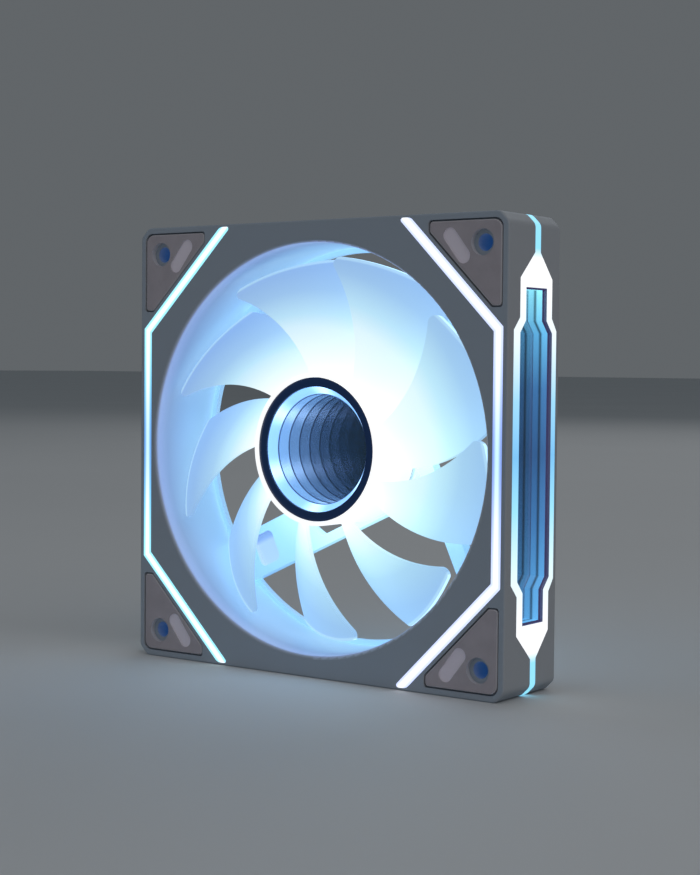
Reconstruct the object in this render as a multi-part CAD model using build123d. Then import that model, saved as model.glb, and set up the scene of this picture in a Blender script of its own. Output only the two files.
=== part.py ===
from build123d import *
import math
import os

# A 120 mm square, 25 mm deep case fan with lit hub, lit blades, lit front strips
# and a mirrored light window in each side wall.
# Millimetres. The origin is the fan's centre on its spin axis, at half depth.
# -Y is the intake face, +Y the outlet face with the struts, +Z is up.

# ---------------------------------------------------------------- driving sizes
SIDE = 120.0                  # outer width and height
HALF = SIDE / 2
FRONT = -12.5                 # intake face
REAR = 12.5                   # outlet face
CORNER_CUT = 2.6              # 45 degree chamfer on the four long edges
CORNER_SOFT = 2.2             # radius where the chamfer meets the flat sides
HOLE_SPACING = 105.0          # screw pattern, both ways
HOLE = HOLE_SPACING / 2
SCREW_HOLE_R = 2.15
DUCT_R = 54.2                 # air duct
DUCT_WALL = 1.4
REAR_LIP_R = 52.8             # the outlet lip is a little narrower than the duct
BEZEL_BACK = -10.3            # the front bezel is FRONT..BEZEL_BACK
WALL = 2.0
GAP = 0.05                    # assembly clearance between pieces glued or snapped together
EDGE_ROUND = 0.5              # outer edge of the front and the rear face
MOUTH_ROUND = 1.0             # edge of the intake mouth
LIP_DEPTH = 1.6               # thickness of the outlet wall
BOSS_R = 4.0                  # boss round each screw hole, behind the front bezel
PAD_DEPTH = 1.4
PAD_SEAT = REAR - PAD_DEPTH    # floor of the rear pad pockets
FLOOR_FRONT = 9.3             # inner side of the rear corner floors
BASE_FRONT = 9.1              # front side of the motor base and of the struts
BASE_R = 20.4
LABEL_R = 15.4
LABEL_DEPTH = 0.3

# hub
HUB_R = 20.2
HUB_INNER_R = 19.05
HUB_FRONT = -10.7             # the rim stands a little in front of the dark ring
BEZEL_RING_FRONT = -10.0
HUB_BACK = 6.8
WINDOW_FRONT = -9.7
WINDOW_BACK = -9.3
MIRROR_FRONT = -7.0           # one mirror gap behind the half mirror
MIRROR_BACK = -6.4
WEB_BACK = -5.2
RING_OPEN_R = 16.55
RING_DEEP_R = 14.46

# blades
BLADES = 9
PITCH = 360.0 / BLADES
BLADE_TIP_R = 50.9
BLADE_ROOT_R = 19.5           # inside the hub's wall
BLADE_THICK = 1.3
TIP_ROUND = 1.7               # leading corner of the tip
TIP_ROUND_BACK = 1.2          # trailing corner of the tip
CURVE_START_R = 20.0          # the sweep of both edges is measured from here
LEAD_SWEEP = (258.2, 0.86, 0.0021)      # degrees, degrees per mm, degrees per mm squared
TRAIL_SWEEP = (225.9, 0.888)
LEAD_Y = (-7.9, -0.6)         # depth of the leading edge at the root, change at the tip
TRAIL_Y = (5.2, 1.1)
CAMBER = 0.38                 # share of the depth that grows with the square
GRID = 12                     # points each way through which the blade's sheet is drawn

# motor
SHAFT_R = 1.5
RUNNING_GAP = 0.03
SLEEVE_R = 3.85
TUBE_R = 4.7
TUBE_BACK = 11.2
THRUST_FRONT = 10.6
STATOR_R = 15.9
STATOR_Y = (-1.2, 4.8)
SHOE_DEPTH = 2.4
SHOE_GAP = 5.0
INSULATOR_THICK = 0.6
COIL_AT_R = 10.2
COIL_ALONG = 5.0
MAGNET_R = 16.2
YOKE_INNER_R = 17.7
YOKE_R = 18.6
BOARD_FRONT = 8.1
CHIP_FRONT = 7.1              # front of the driver and of the hall sensor
POLES = 4
POLE_TURN = 360.0 / POLES
GROOVE_R = 1.2                # shaft at the bottom of the retaining groove
GROOVE_Y = (8.95, 9.45)
HUB_LEDS = 6
HUB_LED_START = 25.0          # direction of the first hub light chip

# light strips and corner pads, in the plane of the front face
STRIP_OUT = 58.6              # outer edge of the upright run
STRIP_IN = 56.0
STRIP_SUM_OUT = 90.5          # |x| + |z| of the diagonal run's outer edge
STRIP_SUM_IN = 86.8
STRIP_MIDDLE = (STRIP_SUM_OUT + STRIP_SUM_IN) / 2
STRIP_END = 59.3
STRIP_TIP_ROUND = 0.6         # acute corner at each end of a strip
STRIP_END_ROUND = 2.5         # obtuse corner at each end of a strip
STRIP_THICK = 1.5
GUIDE_BACK = -8.5             # the light guides behind the strips end here
PAD_OUT = 58.0                # outer edges of the pad, along both sides of the corner
PAD_SUM = 92.4                # |x| + |z| of its diagonal edge
PAD_CUT = 37.0                # both acute tips are cut off here
PAD_ROUND = 2.4               # the corner next to the screw
PAD_TIP_ROUND = 0.9
PAD_GAP = 0.4
PAD_EDGE = 0.4
PAD_HOLE_R = 3.3
DIMPLE_AT = (45.0, 51.9)
DIMPLE_SIZE = (10.4, 3.9)
DIMPLE_DEPTH = 0.3
DIMPLE_TURN = -52.0
LED_STEP = 5.0                # spacing of the light chips on a corner board
CORNER_BOARD = (25.0, 4.6)
CORNER_BOARD_Y = (-7.4, -6.4)
LED_DEPTH = 0.8

# side light, in the plane of the side wall, as Y and Z
LIGHT_BACK_X = 56.9           # the light frame is LIGHT_BACK_X..HALF
MIRROR_X = 56.3
PANE_X = 59.0
PANE_OUT_X = 59.6
TAIL_Y = (0.1, 2.7)
TAIL_DEPTH = 1.2
HEAD_TIP_Z = 50.45
SHOULDER_Z = 44.0
STEP_Z = (34.3, 31.2)
UPPER_Y = (-6.85, 8.67)
WIDE_Y = (-9.75, 11.0)
WINDOW_END_Z = 41.3
WINDOW_UPPER_Y = (-3.6, 5.6)
WINDOW_WIDE_Y = (-6.25, 8.4)
WINDOW_STEP_Z = (33.6, 30.6)
WINDOW_REBATE = 0.45          # the pane sits in a step this wide
PANE_GROW = 0.4
MIRROR_GROW = 0.8
TAIL_OVERLAP = 0.6

# struts: direction from the centre, seen from the front, and edge offsets
STRUT_ANGLES = (25.0, 115.0, 295.0)
WIDE_STRUT_ANGLE = 205.0
STRUT_EDGES = (15.6, 20.4)
THIN_BAR_EDGES = (17.6, 20.4)
WIDE_PLATE_EDGES = (7.1, 20.4)
WIDE_PLATE_R = 27.7           # the plate starts on this arc, the thin bar carries it inwards
CHANNEL_EDGES = (8.6, 11.2)   # ribbon channel in the back of the plate
CHANNEL_WALLS = (7.6, 12.2)   # the bar that carries the channel
CHANNEL_FRONT = 10.9
CHANNEL_SPAN = (16.0, 51.5)
RECESS_AT = (41.2, 13.6)      # oblong recess in the front of the wide plate
RECESS_SIZE = (7.4, 9.0)
RECESS_ROUND = 1.8
RECESS_DEPTH = 1.6

# case screws, top right corner
CASE_SCREW_X = 53.6
CASE_SCREW_Z = 44.2
POST_R = 2.2                  # posts of the front bezel that take the screws
PILOT_R = 1.0
SCREW_HEAD_R = 1.95
SCREW_HEAD_DEPTH = 1.0
SCREW_SHANK_R = 0.95
SCREW_SLACK = 0.15
SCREW_FRONT = 1.0

# contact blocks, top edge
BLOCK = (18.0, 6.0, 3.0)
CONTACTS = 6
CONTACT = (1.6, 4.0, 0.4)
CONTACT_STEP = 2.7

os.makedirs("parts", exist_ok=True)
nodes = {}


# ---------------------------------------------------------------- helpers
def slab(sketch, y0, y1):
    """Extrude a sketch drawn in X and Z from y0 to y1."""
    plane = Plane(origin=(0, y1, 0), x_dir=(1, 0, 0), z_dir=(0, -1, 0))
    return extrude(plane * sketch, amount=y1 - y0)


def side_slab(sketch, x0, x1):
    """Extrude a sketch drawn in Y and Z from x0 to x1."""
    plane = Plane(origin=(x0, 0, 0), x_dir=(0, 1, 0), z_dir=(1, 0, 0))
    return extrude(plane * sketch, amount=x1 - x0)


def disc(radius, y0, y1):
    return slab(Circle(radius), y0, y1)


def ring(inner, outer, y0, y1):
    return slab(Circle(outer) - Circle(inner), y0, y1)


def polygon(points):
    return make_face(Polyline(*points, close=True))


def rounded(points, radius):
    face = polygon(points)
    return fillet(face.vertices(), radius)


def left(shape):
    """The same piece mirrored to the -X side."""
    return mirror(shape, about=Plane.YZ)


def keep(name, shape):
    """Store one node as a compound of its separate solids."""
    solids = shape.solids()
    nodes[name] = solids[0] if len(solids) == 1 else Compound(children=list(solids))


def outer_square(grow=0.0):
    """The fan's outline with its four chamfered corners."""
    h = HALF + grow
    c = HALF - CORNER_CUT + grow
    corners = [(h, -c), (h, c), (c, h), (-c, h), (-h, c), (-h, -c), (-c, -h), (c, -h)]
    return rounded(corners, CORNER_SOFT)


def inner_square():
    h = HALF - WALL
    c = h - CORNER_CUT + 1.0
    corners = [(h, -c), (h, c), (c, h), (-c, h), (-h, c), (-h, -c), (-c, -h), (c, -h)]
    return polygon(corners)


# ---------------------------------------------------------------- outlines
def pad_outline(grow=0.0):
    """Corner pad, top right: a triangle with its two acute tips cut off."""
    out = PAD_OUT + grow
    cut = PAD_CUT - grow
    total = PAD_SUM - grow * math.sqrt(2.0)
    face = polygon([(out, out), (cut, out), (cut, total - cut), (total - cut, cut), (out, cut)])
    outer_corner = face.vertices().sort_by(lambda v: v.X + v.Y)[-1]
    face = fillet(outer_corner, PAD_ROUND)
    tips = face.vertices().filter_by(lambda v: min(v.X, v.Y) < PAD_OUT - PAD_ROUND - 1.0)
    return fillet(tips, PAD_TIP_ROUND)


def strip_outline(grow=0.0):
    """Front light strip, right: an upright run with a diagonal at each end."""
    g = grow
    d = grow * math.sqrt(2.0)
    out = STRIP_OUT + g
    inn = STRIP_IN - g
    s_out = STRIP_SUM_OUT + d
    s_in = STRIP_SUM_IN - d
    end = STRIP_END + g
    upper = [(out, s_out - out), (s_out - end, end), (s_in - end, end), (inn, s_in - inn)]
    lower = [(x, -z) for x, z in reversed(upper)]
    face = polygon(upper + lower)
    tips = face.vertices().filter_by(lambda v: abs(v.Y) > end - 0.1)
    face = fillet(tips.sort_by(Axis.X)[:2], STRIP_TIP_ROUND)
    ends = face.vertices().filter_by(lambda v: abs(v.Y) > end - 0.1).sort_by(Axis.X)
    return fillet(ends[-2:], STRIP_END_ROUND)


def strip_foot(grow=0.0):
    """The light guide under the diagonal run, top right."""
    half_width = 0.8 + grow
    d = half_width * math.sqrt(2.0)
    low = 35.0 - grow
    high = 54.0 + grow
    points = [(STRIP_MIDDLE + d - low, low), (STRIP_MIDDLE + d - high, high),
              (STRIP_MIDDLE - d - high, high), (STRIP_MIDDLE - d - low, low)]
    return polygon(points)


def mirrored_path(upper):
    """Close an outline that is the same above and below the middle."""
    lower = [(y, -z) for y, z in reversed(upper)]
    return upper + lower


def light_outline(grow=0.0):
    """Side light frame in Y and Z, with an arrow head at each end."""
    g = grow
    upper = [
        (WIDE_Y[1] + g, STEP_Z[1]),
        (UPPER_Y[1] + g, STEP_Z[0]),
        (UPPER_Y[1] + g, SHOULDER_Z + g),
        (TAIL_Y[1] + g, HEAD_TIP_Z + g),
        (TAIL_Y[0] - g, HEAD_TIP_Z + g),
        (UPPER_Y[0] - g, SHOULDER_Z + g),
        (UPPER_Y[0] - g, STEP_Z[0]),
        (WIDE_Y[0] - g, STEP_Z[1]),
    ]
    return polygon(mirrored_path(upper))


def window_outline(grow=0.0):
    """Opening of the side light in Y and Z."""
    g = grow
    upper = [
        (WINDOW_WIDE_Y[1] + g, WINDOW_STEP_Z[1]),
        (WINDOW_UPPER_Y[1] + g, WINDOW_STEP_Z[0]),
        (WINDOW_UPPER_Y[1] + g, WINDOW_END_Z + g),
        (WINDOW_UPPER_Y[0] - g, WINDOW_END_Z + g),
        (WINDOW_UPPER_Y[0] - g, WINDOW_STEP_Z[0]),
        (WINDOW_WIDE_Y[0] - g, WINDOW_STEP_Z[1]),
    ]
    return polygon(mirrored_path(upper))


def light_tail(grow=0.0):
    """Thin tail of the side light, following the outline to the top face."""
    t = TAIL_DEPTH + grow
    diagonal = 2 * HALF - CORNER_CUT - t * math.sqrt(2.0)
    inner_x = HALF - t
    points = [
        (HALF, HEAD_TIP_Z - TAIL_OVERLAP),
        (HALF, HALF - CORNER_CUT),
        (HALF - CORNER_CUT, HALF),
        (diagonal - HALF, HALF),
        (inner_x, diagonal - inner_x),
        (inner_x, HEAD_TIP_Z - TAIL_OVERLAP),
    ]
    return slab(polygon(points) & outer_square(), TAIL_Y[0] - grow, TAIL_Y[1] + grow)


def case_screw_circle(radius):
    return Pos(CASE_SCREW_X, CASE_SCREW_Z) * Circle(radius)


def strut_box(angle, edges, y0, y1, start=0.0, stop=60.0):
    """A straight bar leaving the motor base at a tangent."""
    width = edges[1] - edges[0]
    middle = (edges[1] + edges[0]) / 2
    bar = Pos((start + stop) / 2, middle) * Rectangle(stop - start, width)
    return slab(Rot(0, 0, angle) * bar, y0, y1)


def corner_copies(shape):
    """One piece per corner, from the top right one."""
    top_left = left(shape)
    return {
        "top_right": shape,
        "top_left": top_left,
        "bottom_right": mirror(shape, about=Plane.XY),
        "bottom_left": mirror(top_left, about=Plane.XY),
    }


# ---------------------------------------------------------------- static shells
def make_front_bezel():
    """Flat intake plate with a rounded mouth, strip grooves, pad pockets and posts."""
    body = slab(outer_square(), FRONT, BEZEL_BACK)
    body = fillet(body.faces().sort_by(Axis.Y)[0].edges(), EDGE_ROUND)
    body -= disc(DUCT_R, FRONT - 1, BEZEL_BACK + 1)
    mouth = body.faces().sort_by(Axis.Y)[0].edges().filter_by(GeomType.CIRCLE).sort_by(Edge.length)[-1]
    body = fillet(mouth, MOUTH_ROUND)
    groove = slab(strip_outline(GAP), FRONT - 1, FRONT + STRIP_THICK + GAP)
    foot_slot = slab(strip_foot(GAP), FRONT, BEZEL_BACK + 1)
    foot_slot += mirror(foot_slot, about=Plane.XY)
    right_cut = groove + foot_slot
    body -= right_cut
    body -= left(right_cut)
    for pocket in corner_copies(slab(pad_outline(PAD_GAP), FRONT - 1, FRONT + PAD_DEPTH)).values():
        body -= pocket
    for x in (-HOLE, HOLE):
        for z in (-HOLE, HOLE):
            body -= slab(Pos(x, z) * Circle(SCREW_HOLE_R), FRONT - 1, BEZEL_BACK + 1)
    post = slab(case_screw_circle(POST_R), BEZEL_BACK, FLOOR_FRONT)
    pilot = slab(case_screw_circle(PILOT_R), SCREW_FRONT - 0.5, FLOOR_FRONT + 1)
    for one in corner_copies(post).values():
        body += one
    for one in corner_copies(pilot).values():
        body -= one
    return body


def make_housing():
    """Rear shell: outer walls, duct, corner bosses, outlet wall, struts and motor base."""
    walls = slab(outer_square() - inner_square(), BEZEL_BACK, REAR)
    duct = ring(DUCT_R, DUCT_R + DUCT_WALL, BEZEL_BACK, REAR)
    outlet = slab(outer_square() - Circle(REAR_LIP_R), REAR - LIP_DEPTH, REAR)
    body = walls + duct + outlet
    corner = slab(pad_outline(1.6), FLOOR_FRONT, REAR)
    boss = slab(Pos(HOLE, HOLE) * Circle(BOSS_R), BEZEL_BACK, REAR)
    for one in corner_copies((corner + boss) & slab(outer_square(), BEZEL_BACK, REAR)).values():
        body += one
    body = fillet(body.faces().sort_by(Axis.Y)[-1].outer_wire().edges(), EDGE_ROUND)
    arms = strut_box(WIDE_STRUT_ANGLE, WIDE_PLATE_EDGES, BASE_FRONT, REAR, 15.0)
    arms -= disc(WIDE_PLATE_R, BASE_FRONT - 1, REAR + 1)
    arms += strut_box(WIDE_STRUT_ANGLE, THIN_BAR_EDGES, BASE_FRONT, REAR)
    arms += strut_box(WIDE_STRUT_ANGLE, CHANNEL_WALLS, BASE_FRONT, REAR)
    for angle in STRUT_ANGLES:
        arms += strut_box(angle, STRUT_EDGES, BASE_FRONT, REAR)
    arms = arms & disc(DUCT_R + 0.5, BASE_FRONT - 1, REAR + 1)
    body += arms
    body += disc(BASE_R, BASE_FRONT, REAR)
    body -= disc(TUBE_R + GAP, BASE_FRONT - 1, TUBE_BACK)
    body -= disc(LABEL_R + 0.2, REAR - LABEL_DEPTH, REAR + 1)
    for pocket in corner_copies(slab(pad_outline(PAD_GAP), PAD_SEAT, REAR + 1)).values():
        body -= pocket
    hole = slab(Pos(HOLE, HOLE) * Circle(SCREW_HOLE_R), BEZEL_BACK - 1, REAR + 1)
    head = slab(case_screw_circle(SCREW_HEAD_R + SCREW_SLACK), PAD_SEAT - SCREW_HEAD_DEPTH, REAR)
    shank = slab(case_screw_circle(SCREW_SHANK_R + SCREW_SLACK), FLOOR_FRONT - 1, REAR)
    for one in corner_copies(hole + head + shank).values():
        body -= one
    side_cut = side_slab(light_outline(GAP), MIRROR_X - 0.1, HALF + 1)
    side_cut += light_tail(GAP)
    side_cut += mirror(light_tail(GAP), about=Plane.XY)
    body -= side_cut
    body -= left(side_cut)
    socket = Pos(0, 0, HALF) * Box(BLOCK[0] + 2 * GAP, BLOCK[1] + 2 * GAP, 2 * (BLOCK[2] + 0.5))
    body -= socket
    body -= mirror(socket, about=Plane.XY)
    recess = Pos(*RECESS_AT) * RectangleRounded(*RECESS_SIZE, RECESS_ROUND)
    body -= slab(Rot(0, 0, WIDE_STRUT_ANGLE) * recess, BASE_FRONT - 1, BASE_FRONT + RECESS_DEPTH)
    channel_edges = (CHANNEL_EDGES[0] - GAP, CHANNEL_EDGES[1] + GAP)
    start, stop = CHANNEL_SPAN
    body -= strut_box(WIDE_STRUT_ANGLE, channel_edges, CHANNEL_FRONT, REAR + 1, start - GAP, stop + GAP)
    return body


def make_strip():
    """Front light strip, right, with its two light guides."""
    body = slab(strip_outline(), FRONT, FRONT + STRIP_THICK)
    foot = slab(strip_foot(), FRONT + STRIP_THICK - 0.5, GUIDE_BACK)
    body += foot
    body += mirror(foot, about=Plane.XY)
    return body


def make_side_light():
    """Side light frame, right: a lit border round the mirrored window."""
    body = side_slab(light_outline(), LIGHT_BACK_X, HALF)
    tail = light_tail()
    body += tail
    body += mirror(tail, about=Plane.XY)
    body -= side_slab(window_outline(), LIGHT_BACK_X - 1, HALF + 1)
    body -= side_slab(window_outline(WINDOW_REBATE), PANE_X, HALF + 1)
    return body


def make_pad():
    """Soft corner pad, top right, with a screw opening and a shallow oblong dimple."""
    body = slab(pad_outline(), FRONT, FRONT + PAD_DEPTH)
    body = fillet(body.faces().sort_by(Axis.Y)[0].edges(), PAD_EDGE)
    body -= slab(Pos(HOLE, HOLE) * Circle(PAD_HOLE_R), FRONT - 1, 0)
    dimple = Pos(*DIMPLE_AT) * Rot(0, 0, DIMPLE_TURN) * SlotOverall(*DIMPLE_SIZE)
    body -= slab(dimple, FRONT - 1, FRONT + DIMPLE_DEPTH)
    return body


def make_corner_board():
    """Light board behind the diagonal run, top right."""
    middle = STRIP_MIDDLE / 2
    return slab(Pos(middle, middle) * Rot(0, 0, 135.0) * Rectangle(*CORNER_BOARD), *CORNER_BOARD_Y)


def make_corner_leds():
    """Five light chips on the corner board, facing the light guide."""
    middle = STRIP_MIDDLE / 2
    board_front = CORNER_BOARD_Y[0]
    chips = []
    for index in range(5):
        along = (index - 2) * LED_STEP
        spot = Pos(middle, middle) * Rot(0, 0, 135.0) * Pos(along, 0) * Rectangle(2.2, 1.8)
        chips.append(slab(spot, board_front - LED_DEPTH, board_front).solid())
    return Compound(children=chips)


# ---------------------------------------------------------------- impeller
def lead_angle(r):
    """Leading edge: swept forward, faster towards the tip. Degrees from +X."""
    start, slope, bend = LEAD_SWEEP
    out = r - CURVE_START_R
    return start + slope * out + bend * out ** 2


def trail_angle(r):
    """Trailing edge, an even spiral. Degrees from +X."""
    start, slope = TRAIL_SWEEP
    return start + slope * (r - CURVE_START_R)


def blade_point(r, s):
    """Mid surface of the blade: s runs from the leading to the trailing edge."""
    t = (r - CURVE_START_R) / (BLADE_TIP_R - CURVE_START_R)
    angle = math.radians(lead_angle(r) + (trail_angle(r) - lead_angle(r)) * s)
    y_lead = LEAD_Y[0] + LEAD_Y[1] * t
    y_trail = TRAIL_Y[0] + TRAIL_Y[1] * t
    y = y_lead + (y_trail - y_lead) * ((1.0 - CAMBER) * s + CAMBER * s * s)
    return Vector(r * math.cos(angle), y, r * math.sin(angle))


def polar(r, degrees):
    """Point at a radius and an angle, as X and Z."""
    a = math.radians(degrees)
    return (r * math.cos(a), r * math.sin(a))


def make_blade():
    """One twisted sheet, cut to its outline seen along the axis."""
    spread = BLADE_TIP_R - BLADE_ROOT_R + 2.0
    radii = [BLADE_ROOT_R - 1.0 + spread * i / (GRID - 1) for i in range(GRID)]
    stations = [-0.06 + 1.12 * j / (GRID - 1) for j in range(GRID)]
    grid = [[blade_point(r, s) for s in stations] for r in radii]
    sheet = Face.make_surface_from_array_of_points(grid, tol=0.005)
    solid = thicken(sheet, BLADE_THICK / 2, both=True)
    steps = [BLADE_ROOT_R + i * (BLADE_TIP_R - BLADE_ROOT_R) / 6 for i in range(7)]
    lead = Spline([polar(r, lead_angle(r)) for r in steps])
    trail = Spline([polar(r, trail_angle(r)) for r in reversed(steps)])
    mid_tip = (lead_angle(BLADE_TIP_R) + trail_angle(BLADE_TIP_R)) / 2
    tip = ThreePointArc(lead @ 1, polar(BLADE_TIP_R, mid_tip), trail @ 0)
    mid_root = (lead_angle(BLADE_ROOT_R) + trail_angle(BLADE_ROOT_R)) / 2
    root = ThreePointArc(trail @ 1, polar(BLADE_ROOT_R, mid_root), lead @ 0)
    outline = make_face([lead, tip, trail, root])
    for radius, edge_angle in ((TIP_ROUND, lead_angle), (TIP_ROUND_BACK, trail_angle)):
        corner_at = (*polar(BLADE_TIP_R, edge_angle(BLADE_TIP_R)), 0)
        outline = fillet(outline.vertices().sort_by_distance(corner_at)[0], radius)
    return solid & slab(outline, FRONT, REAR)


def make_impeller():
    """Hub and nine blades in one translucent moulding."""
    hub = ring(HUB_INNER_R, HUB_R, HUB_FRONT, HUB_BACK)
    hub = fillet(hub.faces().sort_by(Axis.Y)[0].edges().sort_by(Edge.length)[-1], EDGE_ROUND)
    hub += ring(3.1, HUB_INNER_R + 0.2, MIRROR_BACK, WEB_BACK)
    blade = make_blade()
    for index in range(BLADES):
        hub += blade.rotate(Axis((0, 0, 0), (0, -1, 0)), index * PITCH)
    return hub


def make_light_ring():
    """Translucent cone between the two mirrors of the hub."""
    profile = Polyline(
        (RING_OPEN_R, WINDOW_BACK), (HUB_INNER_R - 0.1, WINDOW_BACK),
        (HUB_INNER_R - 0.1, MIRROR_FRONT), (RING_DEEP_R, MIRROR_FRONT), close=True)
    return revolve(make_face(profile), Axis.Y)


# ---------------------------------------------------------------- motor
def make_stator_core():
    """Laminated core: a ring, four arms and four pole shoes."""
    core = Circle(6.6)
    for index in range(POLES):
        core += Rot(0, 0, (index + 0.5) * POLE_TURN) * Pos(9.5, 0) * Rectangle(9.0, 4.2)
    shoes = Circle(STATOR_R) - Circle(STATOR_R - SHOE_DEPTH)
    for index in range(POLES):
        shoes -= Rot(0, 0, index * POLE_TURN) * Pos(14.0, 0) * Rectangle(8.0, SHOE_GAP)
    core += shoes
    core -= Circle(TUBE_R + GAP)
    return slab(core, *STATOR_Y)


def insulator(y0, y1):
    """Plastic bobbin half over the arms of the core, with a wall at each end."""
    plate = Circle(7.2) - Circle(TUBE_R + GAP)
    for index in range(POLES):
        plate += Rot(0, 0, (index + 0.5) * POLE_TURN) * Pos(10.0, 0) * Rectangle(7.4, 5.4)
    return slab(plate, y0, y1)


def make_coils():
    """One copper winding round each arm, a closed loop of rectangular section."""
    front = STATOR_Y[0] - INSULATOR_THICK - GAP
    back = STATOR_Y[1] + INSULATOR_THICK + GAP
    loops = []
    for index in range(POLES):
        turn = Rot(0, 0, (index + 0.5) * POLE_TURN) * Pos(COIL_AT_R, 0)
        outer = slab(turn * RectangleRounded(COIL_ALONG, 9.0, 1.0), front - 1.15, back + 1.15)
        inner = slab(turn * Rectangle(COIL_ALONG + 0.2, 5.5), front, back)
        loops.append((outer - inner).solid())
    return Compound(children=loops)


def make_hub_leds():
    """Light chips in a circle behind the rim of the hub."""
    chips = []
    for index in range(HUB_LEDS):
        turn = HUB_LED_START + index * 360.0 / HUB_LEDS
        spot = Rot(0, 0, turn) * Pos(18.3, 0) * Rectangle(1.8, 2.2)
        chips.append(slab(spot, BOARD_FRONT - LED_DEPTH, BOARD_FRONT).solid())
    return Compound(children=chips)


def make_shaft():
    """Steel shaft with a groove for the retaining ring."""
    body = disc(SHAFT_R, WEB_BACK, 10.3)
    body -= ring(GROOVE_R, 2.0, *GROOVE_Y)
    body = chamfer(body.faces().sort_by(Axis.Y)[-1].edges(), 0.3)
    return body


# ---------------------------------------------------------------- build the nodes
keep("front_bezel", make_front_bezel())
keep("housing", make_housing())

strip = make_strip()
keep("front_light_right", strip)
keep("front_light_left", left(strip))

light = make_side_light()
pane = side_slab(window_outline(PANE_GROW), PANE_X, PANE_OUT_X)
back_mirror = side_slab(window_outline(MIRROR_GROW), MIRROR_X, LIGHT_BACK_X)
keep("side_light_right", light)
keep("side_light_left", left(light))
keep("side_window_right", pane)
keep("side_window_left", left(pane))
keep("side_mirror_right", back_mirror)
keep("side_mirror_left", left(back_mirror))

for corner, shape in corner_copies(make_pad()).items():
    keep("front_pad_" + corner, shape)
    keep("rear_pad_" + corner, mirror(shape, about=Plane.XZ))
for corner, shape in corner_copies(make_corner_board()).items():
    keep("light_board_" + corner, shape)
for corner, shape in corner_copies(make_corner_leds()).items():
    keep("light_chips_" + corner, shape)

case_screw = slab(case_screw_circle(SCREW_HEAD_R), PAD_SEAT - SCREW_HEAD_DEPTH, PAD_SEAT - 0.1)
case_screw += slab(case_screw_circle(SCREW_SHANK_R), SCREW_FRONT, PAD_SEAT - 0.5)
cross = Rectangle(2.0, 0.5) + Rectangle(0.5, 2.0)
case_screw -= slab(Pos(CASE_SCREW_X, CASE_SCREW_Z) * cross, PAD_SEAT - 0.5, REAR)
keep("case_screws", Compound(children=[one.solid() for one in corner_copies(case_screw).values()]))

block_top = HALF - 0.25
contact_block = Pos(0, 0, block_top - BLOCK[2] / 2) * Box(*BLOCK)
contact_pads = []
for index in range(CONTACTS):
    pad = Pos((index - (CONTACTS - 1) / 2) * CONTACT_STEP, 0, block_top - 0.15) * Box(*CONTACT)
    contact_block -= pad
    contact_pads.append(pad.solid())
keep("contact_block_top", contact_block)
keep("contact_block_bottom", mirror(contact_block, about=Plane.XY))
keep("contacts_top", Compound(children=contact_pads))
keep("contacts_bottom", Compound(children=[mirror(one, about=Plane.XY) for one in contact_pads]))

ribbon_edges = (CHANNEL_EDGES[0] + 0.2, CHANNEL_EDGES[1] - 0.2)
ribbon_span = (CHANNEL_SPAN[0] + 0.4, CHANNEL_SPAN[1] - 0.4)
keep("strut_ribbon",
     strut_box(WIDE_STRUT_ANGLE, ribbon_edges, CHANNEL_FRONT, CHANNEL_FRONT + 0.3, *ribbon_span))
keep("strut_cover", strut_box(WIDE_STRUT_ANGLE, CHANNEL_EDGES, 11.5, REAR - 0.1, *CHANNEL_SPAN))

keep("bearing_tube", ring(SLEEVE_R, TUBE_R, -2.4, TUBE_BACK))
keep("bearing_sleeve", ring(SHAFT_R + RUNNING_GAP, SLEEVE_R - 0.02, -2.0, 8.6))
keep("thrust_pad", disc(3.0, THRUST_FRONT, TUBE_BACK))
keep("stator_core", make_stator_core())
keep("stator_insulator_front", insulator(STATOR_Y[0] - INSULATOR_THICK, STATOR_Y[0]))
keep("stator_insulator_rear", insulator(STATOR_Y[1], STATOR_Y[1] + INSULATOR_THICK))
keep("stator_coils", make_coils())
keep("motor_board", ring(TUBE_R + 0.2, 19.6, BOARD_FRONT, BASE_FRONT))
keep("motor_driver", slab(Rot(0, 0, 90.0) * Pos(11.5, 0) * Rectangle(4.0, 5.0), CHIP_FRONT, BOARD_FRONT))
keep("hall_sensor", slab(Pos(14.8, 0) * Rectangle(1.6, 2.6), CHIP_FRONT, BOARD_FRONT))
keep("hub_light_chips", make_hub_leds())
keep("rear_label", disc(LABEL_R, REAR - LABEL_DEPTH, REAR - 0.1))

keep("impeller", make_impeller())
keep("hub_bezel", ring(RING_OPEN_R, HUB_INNER_R - GAP, BEZEL_RING_FRONT, WINDOW_FRONT))
keep("hub_window", disc(HUB_INNER_R - 0.1, WINDOW_FRONT, WINDOW_BACK))
keep("hub_light_ring", make_light_ring())
keep("hub_mirror", disc(HUB_INNER_R - 0.1, MIRROR_FRONT, MIRROR_BACK))
keep("rotor_yoke", ring(YOKE_INNER_R, YOKE_R, WEB_BACK, 6.2) + ring(3.1, YOKE_R, WEB_BACK, -4.3))
keep("magnet_ring", ring(MAGNET_R, YOKE_INNER_R - 0.02, -3.6, 5.8))
keep("shaft_boss", ring(SHAFT_R, 3.05, MIRROR_BACK, -4.3) + ring(SHAFT_R, 4.6, -4.3, -3.0))
keep("shaft", make_shaft())
keep("retaining_ring", ring(1.22, 2.7, 9.0, 9.4))

for name, shape in nodes.items():
    export_step(shape, "parts/" + name + ".step")
print(len(nodes), "nodes")
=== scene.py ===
import math

import bpy
from mathutils import Matrix, Vector


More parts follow.
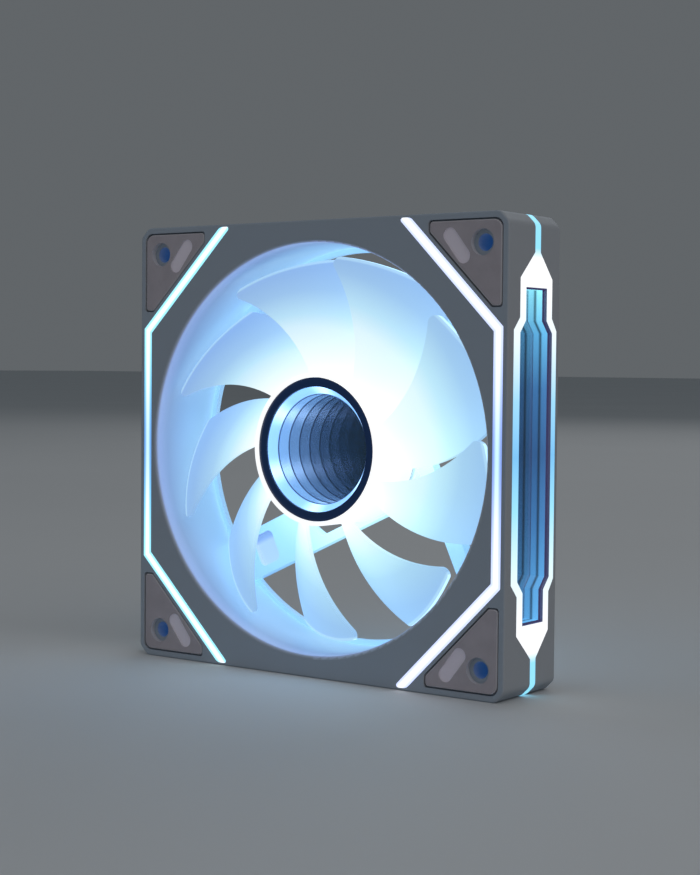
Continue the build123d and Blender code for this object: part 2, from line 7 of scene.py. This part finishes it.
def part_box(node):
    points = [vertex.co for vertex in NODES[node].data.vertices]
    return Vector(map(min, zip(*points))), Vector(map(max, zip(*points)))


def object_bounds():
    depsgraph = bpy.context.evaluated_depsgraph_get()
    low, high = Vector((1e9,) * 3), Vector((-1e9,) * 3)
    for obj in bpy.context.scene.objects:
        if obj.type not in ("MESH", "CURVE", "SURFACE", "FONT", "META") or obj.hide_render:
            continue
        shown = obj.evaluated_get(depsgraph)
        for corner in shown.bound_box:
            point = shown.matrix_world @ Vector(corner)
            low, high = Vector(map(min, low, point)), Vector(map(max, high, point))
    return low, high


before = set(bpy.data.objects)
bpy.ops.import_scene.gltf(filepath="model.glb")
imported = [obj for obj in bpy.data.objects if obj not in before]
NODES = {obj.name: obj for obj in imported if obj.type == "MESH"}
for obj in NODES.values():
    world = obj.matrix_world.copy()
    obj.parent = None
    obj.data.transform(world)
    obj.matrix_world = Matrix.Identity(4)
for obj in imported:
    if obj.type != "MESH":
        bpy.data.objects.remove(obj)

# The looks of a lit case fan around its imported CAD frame.
# Metres. -Y is the intake face, +Z is up, and the fan spins about the Y axis.

CAD_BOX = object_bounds()
MM = 0.001

FRONT_Y = CAD_BOX[0].y
FLOOR_Z = CAD_BOX[0].z
HUB_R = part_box("hub_bezel")[1].x + 1.15 * MM
DUCT_R = 54.2 * MM
MOUTH_DEPTH = 1.0 * MM                # the duct's painted glow comes up over this depth
MOUTH_REACH = 0.9 * MM                # and reaches this far out over the mouth's rounding
WALL_BAND = 2.2 * MM                  # what lies this near the duct's radius is wall, not strut
BLADE_TIP_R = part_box("impeller")[1].x
LEADING_EDGE_Y = -8.0 * MM            # the blades' front edges, about
SCREW_AT = 52.5 * MM
SCREW_WELL_R = 3.6 * MM
SCREW_WELL_DEPTH = 1.6 * MM           # the painted blue light in a screw hole starts this deep
BASE_FRONT_Y = 9.1 * MM               # front of the motor base and of the struts
WIDE_STRUT_TURN = math.radians(205.0)
RECESS_OUTWARD = (37.4 * MM, 45.0 * MM)   # the wide strut's recess, from the axis outward
RECESS_ACROSS = (9.0 * MM, 18.2 * MM)     # and across that direction
PAD_DIMPLE = (0.22 * MM, 0.42 * MM)   # depths between which a flat face is a dimple's floor
STRIP_MIDDLE_X = 57.3 * MM            # centre of a strip's upright run
STRIP_MIDDLE_SUM = 88.65 * MM         # |x| + |z| along the centre of its diagonal runs
SIDE_RAMP_TOP = 42.0 * MM             # the side light's colours run this far up and down
SIDE_TAIL = (49.0 * MM, 51.5 * MM)    # heights over which the side light turns into its tail
SIDE_FACE_X = 59.3 * MM               # the side light's outer face lies beyond this
PANE_BACK_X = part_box("side_window_right")[0].x
MIRROR_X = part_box("side_mirror_right")[1].x
HUB_MIRROR_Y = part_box("hub_mirror")[0].y
HUB_LEDS = 6.0
HUB_LED_START = math.radians(25.0)
TIP_GLOW = (0.60, 0.95, 1.20)         # painted light leaving the blade tips
HUB_SHARE = 0.78                      # part of the inner light the hub's half mirror sends back
SIDE_SHARE = 0.60                     # the same for the side windows
CLEAR_SHARE = 0.03                    # what a clear face sends back
OUTER_SHARE = 0.08                    # what a half mirror sends back of the room's light
PANE_GAIN = 1.0 / (1.0 - OUTER_SHARE)  # makes up for what a half mirror holds back

# ---------------------------------------------------------------- camera
# Solved from the frame's corners in the photo.
CAMERA_AZIMUTH = math.radians(36.506)
CAMERA_ELEVATION = math.radians(2.739)
CAMERA_DISTANCE = 0.46799
CAMERA_AIM = Vector((0.002522, 0.002014, 0.002888))
CAMERA_ROLL = math.radians(0.504)
CAMERA_LENS = 71.9


def make_camera():
    data = bpy.data.cameras.new("camera")
    data.sensor_width = 36.0
    data.sensor_fit = "AUTO"
    data.lens = CAMERA_LENS
    data.clip_start = 0.01
    data.clip_end = 20.0
    flat = math.cos(CAMERA_ELEVATION)
    place = CAMERA_DISTANCE * Vector((
        math.sin(CAMERA_AZIMUTH) * flat,
        -math.cos(CAMERA_AZIMUTH) * flat,
        math.sin(CAMERA_ELEVATION),
    ))
    turn = (CAMERA_AIM - place).to_track_quat("-Z", "Y").to_matrix().to_4x4()
    camera = bpy.data.objects.new("camera", data)
    camera.matrix_world = Matrix.Translation(place) @ turn @ Matrix.Rotation(CAMERA_ROLL, 4, "Z")
    bpy.context.scene.collection.objects.link(camera)
    bpy.context.scene.camera = camera


def shown(red, green, blue):
    """A colour as it is seen on screen, 0 to 255, in linear light."""
    linear = []
    for value in (red, green, blue):
        part = value / 255.0
        linear.append(part / 12.92 if part <= 0.04045 else ((part + 0.055) / 1.055) ** 2.4)
    return tuple(linear)


# ---------------------------------------------------------------- node helpers
class Shade:
    """A small builder for one material's node tree."""

    def __init__(self, name):
        self.material = bpy.data.materials.new(name)
        self.material.use_nodes = True
        self.tree = self.material.node_tree
        self.bsdf = self.tree.nodes["Principled BSDF"]
        self.output = self.tree.nodes["Material Output"]
        coordinates = self.tree.nodes.new("ShaderNodeTexCoord")
        self.object = coordinates.outputs["Object"]
        self.split = self.tree.nodes.new("ShaderNodeSeparateXYZ")
        self.tree.links.new(self.object, self.split.inputs[0])
        self.x, self.y, self.z = self.split.outputs
        normal = self.tree.nodes.new("ShaderNodeSeparateXYZ")
        self.tree.links.new(coordinates.outputs["Normal"], normal.inputs[0])
        self.normal_x, self.normal_y, self.normal_z = normal.outputs

    def put(self, socket, value):
        if isinstance(value, bpy.types.NodeSocket):
            self.tree.links.new(value, socket)
        else:
            socket.default_value = value

    def set(self, **values):
        """Set the shader's own sockets, with _ in place of a blank."""
        for name, value in values.items():
            self.put(self.bsdf.inputs[name.replace("_", " ")], value)

    def math(self, operation, first, second=0.0, third=0.0):
        node = self.tree.nodes.new("ShaderNodeMath")
        node.operation = operation
        for socket, value in zip(node.inputs, (first, second, third)):
            self.put(socket, value)
        return node.outputs[0]

    def span(self, value, low, high, to_low=0.0, to_high=1.0, smooth=False):
        """Map a value from low..high to to_low..to_high, clamped."""
        node = self.tree.nodes.new("ShaderNodeMapRange")
        node.interpolation_type = "SMOOTHSTEP" if smooth else "LINEAR"
        for socket, item in zip(node.inputs, (value, low, high, to_low, to_high)):
            self.put(socket, item)
        return node.outputs[0]

    def ramp(self, value, stops):
        """Colour ramp from (position, (r, g, b)) stops."""
        node = self.tree.nodes.new("ShaderNodeValToRGB")
        elements = node.color_ramp.elements
        while len(elements) < len(stops):
            elements.new(0.5)
        for element, (position, colour) in zip(elements, stops):
            element.position = position
            element.color = (*colour, 1.0)
        self.put(node.inputs[0], value)
        return node.outputs[0]

    def mix(self, amount, first, second, blend="MIX"):
        node = self.tree.nodes.new("ShaderNodeMix")
        node.data_type = "RGBA"
        node.blend_type = blend
        self.put(node.inputs[0], amount)
        for socket, value in ((node.inputs[6], first), (node.inputs[7], second)):
            self.put(socket, (*value, 1.0) if isinstance(value, tuple) else value)
        return node.outputs[2]

    def noise(self, scale, detail=3.0, rough=0.5):
        node = self.tree.nodes.new("ShaderNodeTexNoise")
        self.put(node.inputs["Vector"], self.object)
        node.inputs["Scale"].default_value = scale
        node.inputs["Detail"].default_value = detail
        node.inputs["Roughness"].default_value = rough
        return node.outputs["Fac"]

    def radius(self, first, second):
        squares = self.math("MULTIPLY_ADD", first, first, self.math("MULTIPLY", second, second))
        return self.math("SQRT", squares)

    def turned(self, angle):
        """The position along a direction in the fan's plane, and across it."""
        along = self.towards(math.cos(angle), math.sin(angle))
        across = self.towards(-math.sin(angle), math.cos(angle))
        return along, across

    def towards(self, share_x, share_z):
        """The position along a direction given by its x and z."""
        return self.math("MULTIPLY_ADD", self.x, share_x, self.math("MULTIPLY", self.z, share_z))

    def within(self, value, low, high):
        """1 where a value lies between two limits."""
        above = self.math("GREATER_THAN", value, low)
        below = self.math("LESS_THAN", value, high)
        return self.math("MULTIPLY", above, below)

    def bump(self, height, distance, strength=0.5):
        node = self.tree.nodes.new("ShaderNodeBump")
        node.inputs["Strength"].default_value = strength
        node.inputs["Distance"].default_value = distance
        self.put(node.inputs["Height"], height)
        self.put(self.bsdf.inputs["Normal"], node.outputs[0])

    def grain(self, scale=2600.0, distance=0.02 * MM, strength=0.35):
        """Fine spark-eroded moulding texture."""
        self.bump(self.noise(scale, 2.0, 0.6), distance, strength)

    def uneven(self, colour, spread=0.06, scale=60.0):
        """The colour with a faint large mottling."""
        dark = tuple(c * (1.0 - spread) for c in colour)
        light = tuple(min(1.0, c * (1.0 + spread)) for c in colour)
        return self.mix(self.span(self.noise(scale, 4.0, 0.55), 0.3, 0.7), dark, light)


def give(material, *names):
    """Put one material on whole CAD nodes."""
    for name in names:
        mesh = NODES[name].data
        mesh.materials.clear()
        mesh.materials.append(material)


def both_sides(stem):
    return stem + "_left", stem + "_right"


def four_corners(stem):
    return [f"{stem}_{row}_{side}" for row in ("top", "bottom") for side in ("left", "right")]


# ---------------------------------------------------------------- materials
def frame_plastic():
    """Pale satin moulding. The impeller's light on the duct and the strut faces is painted on as a
    glow, and shade is painted on the front faces.
    """
    s = Shade("frame_plastic")
    r = s.radius(s.x, s.z)
    inside = s.math("LESS_THAN", r, DUCT_R + MOUTH_REACH)
    past_mouth = s.span(s.y, FRONT_Y, FRONT_Y + MOUTH_DEPTH, 0.0, 1.0, True)
    duct = s.math("MULTIPLY", inside, past_mouth)
    # Painted shade: faces turned to the front are darker and bluer than the side faces.
    grey = s.mix(s.math("ABSOLUTE", s.normal_x), (0.40, 0.455, 0.53), (0.49, 0.50, 0.53))
    # Painted light: the duct is given a paler blue base than the rest of the frame.
    base = s.mix(duct, grey, (0.62, 0.74, 0.84))
    s.set(Base_Color=base, Roughness=s.span(s.noise(900.0), 0.3, 0.7, 0.38, 0.50))
    s.set(Specular_IOR_Level=0.4)
    s.grain()
    wall = s.math("GREATER_THAN", r, DUCT_R - WALL_BAND)
    # Painted light from the hub on the struts, paler near the hub and bluer further out.
    painted_strut_light = s.ramp(s.span(r, HUB_R, DUCT_R), [
        (0.0, shown(185, 236, 250)), (0.5, shown(118, 180, 212)), (1.0, shown(100, 142, 200))])
    outward, across = s.turned(WIDE_STRUT_TURN)
    sunk = s.math("GREATER_THAN", s.y, BASE_FRONT_Y + 0.3 * MM)
    recess = s.math("MULTIPLY", s.within(outward, *RECESS_OUTWARD), s.within(across, *RECESS_ACROSS))
    recess = s.math("MULTIPLY", recess, sunk)
    # Painted shadow along the recess's upper side, and painted light on the rest of its floor.
    recess_top = RECESS_ACROSS[0]
    unshaded = s.span(across, recess_top + 1.2 * MM, recess_top + 2.8 * MM, 0.0, 1.0, True)
    painted_recess_light_and_shade = s.mix(unshaded, shown(66, 66, 108), shown(132, 142, 192))
    painted_strut_light = s.mix(recess, painted_strut_light, painted_recess_light_and_shade)
    along = s.span(s.y, FRONT_Y, -FRONT_Y)
    # Painted light the impeller casts on the duct wall, with a painted dark band a little way in from
    # the mouth.
    painted_wall_light = s.ramp(along, [
        (0.0, shown(80, 80, 138)), (0.06, shown(82, 92, 156)), (0.2, shown(46, 68, 122)),
        (0.5, shown(84, 124, 166)), (1.0, shown(110, 160, 200))])
    glow = s.mix(wall, painted_strut_light, painted_wall_light)
    # Painted blue light deep in the screw holes, darker at the middle.
    corner_x = s.math("SUBTRACT", s.math("ABSOLUTE", s.x), SCREW_AT)
    corner_z = s.math("SUBTRACT", s.math("ABSOLUTE", s.z), SCREW_AT)
    from_screw = s.radius(corner_x, corner_z)
    near_screw = s.math("LESS_THAN", from_screw, SCREW_WELL_R)
    well = s.math("MULTIPLY", near_screw, s.within(s.y, FRONT_Y + SCREW_WELL_DEPTH, 0.0))
    painted_well_light = s.mix(s.span(from_screw, 0.8 * MM, 2.6 * MM), shown(2, 20, 58), shown(8, 44, 84))
    # Painted light: only the duct and what lies within it glow.
    lit = s.mix(duct, (0.0, 0.0, 0.0), glow)
    lit = s.mix(well, lit, painted_well_light)
    s.set(Emission_Color=lit, Emission_Strength=0.85)
    return s.material


def strip_light():
    """Frosted light guide: a white core with coloured rims, dimmer half way up."""
    s = Shade("strip_light")
    s.set(Base_Color=(0.35, 0.42, 0.47, 1.0), Roughness=0.35)
    s.grain(1800.0)
    across_upright = s.math("SUBTRACT", s.math("ABSOLUTE", s.x), STRIP_MIDDLE_X)
    total = s.math("ADD", s.math("ABSOLUTE", s.x), s.math("ABSOLUTE", s.z))
    across_diagonal = s.math("MULTIPLY", s.math("SUBTRACT", total, STRIP_MIDDLE_SUM), math.sqrt(0.5))
    across = s.math("ABSOLUTE", s.math("MAXIMUM", across_upright, across_diagonal))
    edge = s.span(across, 0.2 * MM, 1.05 * MM, 0.0, 1.0, True)
    along = s.span(s.math("ABSOLUTE", s.z), 0.0, 34.0 * MM, 0.0, 1.0, True)
    side = s.math("GREATER_THAN", s.x, 0.0)
    core = s.ramp(along, [
        (0.0, shown(190, 228, 255)), (0.45, shown(235, 250, 255)), (1.0, (1.0, 1.0, 1.0))])
    cyan = s.ramp(along, [
        (0.0, shown(80, 150, 220)), (0.5, shown(110, 200, 245)), (1.0, shown(150, 235, 255))])
    violet = s.ramp(along, [
        (0.0, shown(120, 150, 225)), (0.5, shown(170, 190, 250)), (1.0, shown(205, 215, 255))])
    rim = s.mix(side, cyan, violet)
    s.set(Emission_Color=s.mix(edge, core, rim), Emission_Strength=1.15)
    return s.material


def wall_behind_pane(s, colour):
    """The wall seen through the half mirror, made up for what the pane holds back."""
    return s.mix(1.0, colour, (PANE_GAIN, PANE_GAIN, PANE_GAIN), "MULTIPLY")


def side_light():
    """Frosted border of the side window, its tails and its inner wall."""
    s = Shade("side_light")
    s.set(Base_Color=(0.30, 0.36, 0.42, 1.0), Roughness=0.35)
    s.grain(1800.0)
    height = s.math("ABSOLUTE", s.z)
    rise = s.span(s.z, -SIDE_RAMP_TOP, SIDE_RAMP_TOP)
    face = s.ramp(rise, [
        (0.0, (1.0, 1.0, 1.0)), (0.16, shown(225, 250, 255)), (0.34, shown(150, 225, 255)),
        (0.5, shown(110, 188, 238)), (0.66, shown(150, 215, 250)), (0.84, shown(235, 250, 255)),
        (1.0, (1.0, 1.0, 1.0))])
    tail = s.span(height, *SIDE_TAIL)
    face = s.mix(tail, face, shown(140, 225, 255))
    wall = s.ramp(rise, [
        (0.0, shown(92, 168, 222)), (0.14, shown(84, 158, 216)), (0.3, shown(64, 124, 182)),
        (0.5, shown(46, 92, 144)), (0.7, shown(60, 118, 174)), (0.86, shown(98, 182, 230)),
        (1.0, shown(150, 240, 255))])
    depth = s.math("ABSOLUTE", s.x)
    outward = s.math("GREATER_THAN", s.math("ABSOLUTE", s.normal_x), 0.6)
    # Painted shade: the inner wall darkens towards the mirror.
    painted_mirror_shade = s.span(depth, MIRROR_X, MIRROR_X + 0.7 * MM, 0.12, 1.0, True)
    wall = s.mix(1.0, wall, painted_mirror_shade, "MULTIPLY")
    behind_pane = s.math("LESS_THAN", depth, PANE_BACK_X - 0.08 * MM)
    # Painted shadow: faces from the pane outward, except the outer face and the tails, are dark
    # violet.
    inner = s.mix(behind_pane, shown(38, 24, 66), wall_behind_pane(s, wall))
    on_face = s.math("MULTIPLY", outward, s.math("GREATER_THAN", depth, SIDE_FACE_X))
    on_face = s.math("MAXIMUM", on_face, tail)
    s.set(Emission_Color=s.mix(on_face, inner, face), Emission_Strength=1.0)
    return s.material


def mirror_film():
    """The full mirror behind the light of the hub and of the side windows."""
    s = Shade("mirror_film")
    s.set(Base_Color=s.uneven((0.76, 0.785, 0.82), 0.01), Metallic=1.0, Roughness=0.0)
    return s.material


def half_mirror(name, front, share):
    """Clear sheet with a one-way mirror on its back face. front is 1 on the clear face.

    Light from within meets that face from outside the sheet, and is mostly sent back.
    The room's light meets it from inside the sheet, and mostly passes.
    """
    s = Shade(name)
    tree = s.tree
    clear = tree.nodes.new("ShaderNodeBsdfTransparent")
    clear.inputs[0].default_value = (1.0, 1.0, 1.0, 1.0)
    gloss = tree.nodes.new("ShaderNodeBsdfGlossy")
    gloss.inputs["Color"].default_value = (0.95, 0.94, 0.96, 1.0)
    gloss.inputs["Roughness"].default_value = 0.0
    mixed = tree.nodes.new("ShaderNodeMixShader")
    met_from_inside = tree.nodes.new("ShaderNodeNewGeometry").outputs["Backfacing"]
    coated = s.span(met_from_inside, 0.0, 1.0, share, OUTER_SHARE)
    s.put(mixed.inputs[0], s.span(front(s), 0.0, 1.0, coated, CLEAR_SHARE))
    tree.links.new(clear.outputs[0], mixed.inputs[1])
    tree.links.new(gloss.outputs[0], mixed.inputs[2])
    tree.links.new(mixed.outputs[0], s.output.inputs["Surface"])
    tree.nodes.remove(s.bsdf)
    return s.material


def hub_pane_front(s):
    """1 on the half of the hub window nearer its clear face."""
    low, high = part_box("hub_window")
    return s.math("LESS_THAN", s.y, (low.y + high.y) / 2)


def side_pane_front(s):
    """1 on the half of a side window nearer its clear face."""
    low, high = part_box("side_window_right")
    return s.math("GREATER_THAN", s.math("ABSOLUTE", s.x), (low.x + high.x) / 2)


def pad_rubber():
    """Soft warm grey pad, with painted light on its dimple and a painted highlight on its sides."""
    s = Shade("pad_rubber")
    depth = s.math("ABSOLUTE", s.y)
    sunk = s.within(s.math("SUBTRACT", -FRONT_Y, depth), *PAD_DIMPLE)
    facing_out = s.math("GREATER_THAN", s.math("ABSOLUTE", s.normal_y), 0.9)
    dimple = s.math("MULTIPLY", sunk, facing_out)
    # Painted highlight: faces not turned to the front are paler than the front faces.
    rubber = s.mix(facing_out, (0.66, 0.63, 0.66), s.uneven((0.50, 0.45, 0.49), 0.07, 220.0))
    # Painted light: the dimple's floor is paler.
    base = s.mix(dimple, rubber, (0.95, 0.86, 0.96))
    s.set(Base_Color=base, Roughness=s.span(s.noise(1200.0), 0.3, 0.7, 0.62, 0.80))
    s.grain(2200.0, 0.03 * MM, 0.5)
    return s.material


def frosted_blades():
    """Translucent moulding with the hub lights' glow painted on: white at the root, blue further out.

    The light runs along inside each blade and leaves at its tip, onto the duct.
    """
    s = Shade("frosted_blades")
    s.set(Base_Color=(0.22, 0.26, 0.32, 1.0), Roughness=0.45)
    s.grain(1500.0, 0.02 * MM, 0.25)
    r = s.radius(s.x, s.z)
    depth = s.math("SUBTRACT", s.y, LEADING_EDGE_Y)
    way_from_light = s.math("MULTIPLY_ADD", depth, 0.35, r)
    out = s.span(way_from_light, HUB_R, BLADE_TIP_R + 3.0 * MM)
    # Painted highlight: the blades are whiter towards the upper right, away from the hub.
    painted_highlight_shift = s.span(s.towards(0.6, 0.8), -BLADE_TIP_R, BLADE_TIP_R, 0.06, -0.32)
    place = s.math("ADD", out, s.math("MULTIPLY", painted_highlight_shift, s.span(out, 0.0, 0.4)))
    # Painted glow of the hub lights, white at the root and blue further out.
    glow = s.ramp(place, [
        (0.0, (1.0, 1.0, 1.0)), (0.12, shown(232, 250, 255)), (0.3, shown(188, 228, 248)),
        (0.5, shown(156, 196, 234)), (0.8, shown(134, 172, 222)), (1.0, shown(130, 167, 218))])
    # Painted light and shade: further out, the blades are brighter low down and darker high up.
    lower = s.span(s.towards(0.3, -0.95), -BLADE_TIP_R, BLADE_TIP_R)
    painted_side_shade = s.mix(lower, (0.86, 0.88, 0.92), (1.18, 1.24, 1.06))
    glow = s.mix(s.span(out, 0.1, 0.5), glow, s.mix(1.0, glow, painted_side_shade, "MULTIPLY"))
    cut = s.span(s.math("ABSOLUTE", s.normal_y), 0.12, 0.35, 1.0, 0.0)
    outward = s.math("MULTIPLY_ADD", s.x, s.normal_x, s.math("MULTIPLY", s.z, s.normal_z))
    tip_face = s.math("MULTIPLY", s.math("GREATER_THAN", outward, BLADE_TIP_R - 8.0 * MM), cut)
    # Painted shade: beyond the hub, the blades' cut edges are a little darker.
    beyond_hub = s.math("GREATER_THAN", r, HUB_R + 0.4 * MM)
    edge = s.math("MULTIPLY", s.math("MULTIPLY", cut, beyond_hub), 0.16)
    glow = s.mix(edge, glow, (0.0, 0.0, 0.0))
    # Painted highlight: a pale band just inside the blade tips.
    rim = s.span(r, BLADE_TIP_R - 1.0 * MM, BLADE_TIP_R - 0.45 * MM, 0.0, 0.5, True)
    glow = s.mix(rim, glow, shown(190, 232, 250))
    glow = s.mix(tip_face, glow, TIP_GLOW)
    s.set(Emission_Color=glow, Emission_Strength=0.95)
    return s.material


def ring_light():
    """The lit cone between the hub's mirrors, with brighter spots over the light chips."""
    s = Shade("ring_light")
    s.set(Base_Color=(0.30, 0.36, 0.42, 1.0), Roughness=0.4)
    s.grain(1500.0)
    angle = s.math("ARCTAN2", s.z, s.x)
    from_first = s.math("SUBTRACT", angle, HUB_LED_START)
    wave = s.math("COSINE", s.math("MULTIPLY", from_first, HUB_LEDS))
    spot = s.math("POWER", s.span(wave, -1.0, 1.0), 4.0)
    glow = s.mix(spot, (0.26, 0.56, 1.05), (0.68, 1.15, 1.85))
    # Painted shade: a thin dark line where the cone meets the mirror. Faces turned to the front glow
    # dark blue.
    line = s.span(s.y, HUB_MIRROR_Y - 0.30 * MM, HUB_MIRROR_Y - 0.24 * MM)
    glow = s.mix(line, glow, shown(26, 44, 96))
    front_rim = s.math("LESS_THAN", s.normal_y, -0.8)
    glow = s.mix(front_rim, glow, shown(20, 40, 80))
    s.set(Emission_Color=glow, Emission_Strength=1.2 * PANE_GAIN)
    return s.material


def plain(name, colour, roughness, metallic=0.0, scale=1500.0, emission=None, power=3.0):
    """Everyday material with a faint mottling and a fine grain."""
    s = Shade(name)
    s.set(Base_Color=s.uneven(colour, 0.06, 200.0), Metallic=metallic)
    s.set(Roughness=s.span(s.noise(scale * 0.6), 0.3, 0.7, roughness * 0.85, roughness * 1.15))
    s.grain(scale)
    if emission:
        s.set(Emission_Color=(*emission, 1.0), Emission_Strength=power)
    return s.material


def lines(name, colour, roughness, spacing, axis="Y"):
    """Metal with fine even lines, such as stacked laminations or wound wire."""
    s = Shade(name)
    s.set(Base_Color=s.uneven(colour, 0.08, 300.0), Metallic=1.0, Roughness=roughness)
    wave = s.tree.nodes.new("ShaderNodeTexWave")
    wave.bands_direction = axis
    wave.inputs["Scale"].default_value = 1.0 / (spacing * 3.2)
    s.put(wave.inputs["Vector"], s.object)
    s.bump(wave.outputs["Fac"], 0.05 * MM, 0.8)
    return s.material


def paint_everything():
    give(frame_plastic(), "housing", "front_bezel", "strut_cover")
    give(strip_light(), *both_sides("front_light"))
    give(side_light(), *both_sides("side_light"))
    give(mirror_film(), "hub_mirror", *both_sides("side_mirror"))
    give(half_mirror("hub_half_mirror", hub_pane_front, HUB_SHARE), "hub_window")
    give(half_mirror("side_half_mirror", side_pane_front, SIDE_SHARE), *both_sides("side_window"))
    give(pad_rubber(), *four_corners("front_pad"), *four_corners("rear_pad"))
    give(frosted_blades(), "impeller")
    give(ring_light(), "hub_light_ring")
    # Painted light: the dark ring round the hub glows a faint blue.
    give(plain("dark_ring", (0.012, 0.016, 0.03), 0.22, emission=shown(12, 28, 56), power=1.0),
         "hub_bezel")
    give(plain("circuit_board", (0.80, 0.83, 0.82), 0.4), "motor_board", *four_corners("light_board"))
    give(plain("light_chip", (0.9, 0.9, 0.7), 0.3, emission=(0.6, 0.85, 1.0)),
         "hub_light_chips", *four_corners("light_chips"))
    give(plain("screw_steel", (0.60, 0.60, 0.61), 0.32, 1.0), "case_screws", "shaft")
    give(plain("dark_plastic", (0.03, 0.03, 0.035), 0.45),
         "contact_block_top", "contact_block_bottom", "motor_driver", "hall_sensor")
    give(plain("contact_gold", (0.90, 0.66, 0.28), 0.25, 1.0), "contacts_top", "contacts_bottom")
    give(plain("ribbon_film", (0.45, 0.22, 0.07), 0.35), "strut_ribbon")
    give(plain("bearing_brass", (0.72, 0.52, 0.24), 0.3, 1.0),
         "bearing_tube", "bearing_sleeve", "shaft_boss")
    give(plain("nylon", (0.82, 0.80, 0.74), 0.5),
         "thrust_pad", "retaining_ring", "stator_insulator_front", "stator_insulator_rear")
    give(lines("core_steel", (0.40, 0.41, 0.43), 0.4, 0.5 * MM), "stator_core")
    give(plain("yoke_steel", (0.55, 0.55, 0.57), 0.35, 1.0), "rotor_yoke")
    give(plain("magnet", (0.06, 0.06, 0.065), 0.6), "magnet_ring")
    give(lines("copper_wire", (0.80, 0.38, 0.18), 0.3, 0.3 * MM), "stator_coils")
    give(plain("label_film", (0.66, 0.67, 0.69), 0.35), "rear_label")


# ---------------------------------------------------------------- soft edges
# The width of each bevel, in millimetres.
BEVELS = {
    "housing": 0.25, "front_bezel": 0.15, "front_light_left": 0.2, "front_light_right": 0.2,
    "side_light_left": 0.15, "side_light_right": 0.15, "impeller": 0.25,
}


def soften(name, width):
    """Round a CAD node's sharp edges a little and keep its faces smooth."""
    piece = NODES[name]
    bevel = piece.modifiers.new("soft_edges", "BEVEL")
    bevel.width = width * MM
    bevel.segments = 2
    bevel.limit_method = "ANGLE"
    bevel.angle_limit = math.radians(35.0)
    bevel.use_clamp_overlap = True
    bevel.harden_normals = False


# ---------------------------------------------------------------- studio
def make_floor():
    bpy.ops.mesh.primitive_plane_add(size=24.0, location=(0.0, 0.0, FLOOR_Z))
    floor = bpy.context.object
    floor.name = "studio_floor"
    s = Shade("floor_paper")
    s.set(Base_Color=s.uneven((0.72, 0.73, 0.74), 0.02, 3.0), Roughness=0.7)
    floor.data.materials.append(s.material)
    # In the mirrors, the pale floor would drown the rings of light.
    floor.visible_glossy = False


def make_light(name, place, size, power, colour=(1.0, 1.0, 1.0), shows_in_gloss=True):
    data = bpy.data.lights.new(name, "AREA")
    data.size = size
    data.energy = power
    data.color = colour
    lamp = bpy.data.objects.new(name, data)
    lamp.location = place
    lamp.rotation_euler = (-Vector(place)).to_track_quat("-Z", "Y").to_euler()
    lamp.visible_glossy = shows_in_gloss
    bpy.context.scene.collection.objects.link(lamp)


def make_room():
    """A soft grey room. Shiny surfaces see a dim blue one, so that the mirrors stay dark."""
    world = bpy.data.worlds.new("soft_room")
    bpy.context.scene.world = world
    world.use_nodes = True
    tree = world.node_tree
    background = tree.nodes["Background"]
    background.inputs["Color"].default_value = (0.55, 0.60, 0.64, 1.0)
    background.inputs["Strength"].default_value = 0.22
    dim = tree.nodes.new("ShaderNodeBackground")
    dim.inputs["Color"].default_value = (0.22, 0.44, 0.60, 1.0)
    dim.inputs["Strength"].default_value = 0.10
    path = tree.nodes.new("ShaderNodeLightPath")
    share = tree.nodes.new("ShaderNodeMixShader")
    tree.links.new(path.outputs["Is Glossy Ray"], share.inputs[0])
    tree.links.new(background.outputs[0], share.inputs[1])
    tree.links.new(dim.outputs[0], share.inputs[2])
    tree.links.new(share.outputs[0], tree.nodes["World Output"].inputs["Surface"])


def make_studio():
    make_floor()
    make_light("key_light", (1.2, -0.5, 1.3), 1.4, 5.0)
    make_light("fill_light", (-1.2, -1.2, 0.9), 1.6, 2.0, (0.92, 0.96, 1.0), shows_in_gloss=False)
    make_light("back_light", (-0.4, 1.5, 1.2), 1.4, 3.0)
    make_room()


def allow_deep_reflections():
    """The mirrors of the hub, and those of the side windows, show each other many times."""
    cycles = bpy.context.scene.cycles
    cycles.max_bounces = 40
    cycles.glossy_bounces = 36
    cycles.transparent_max_bounces = 48


make_camera()
paint_everything()
for name, width in BEVELS.items():
    soften(name, width)
make_studio()
allow_deep_reflections()
bpy.context.scene.view_settings.view_transform = "Standard"
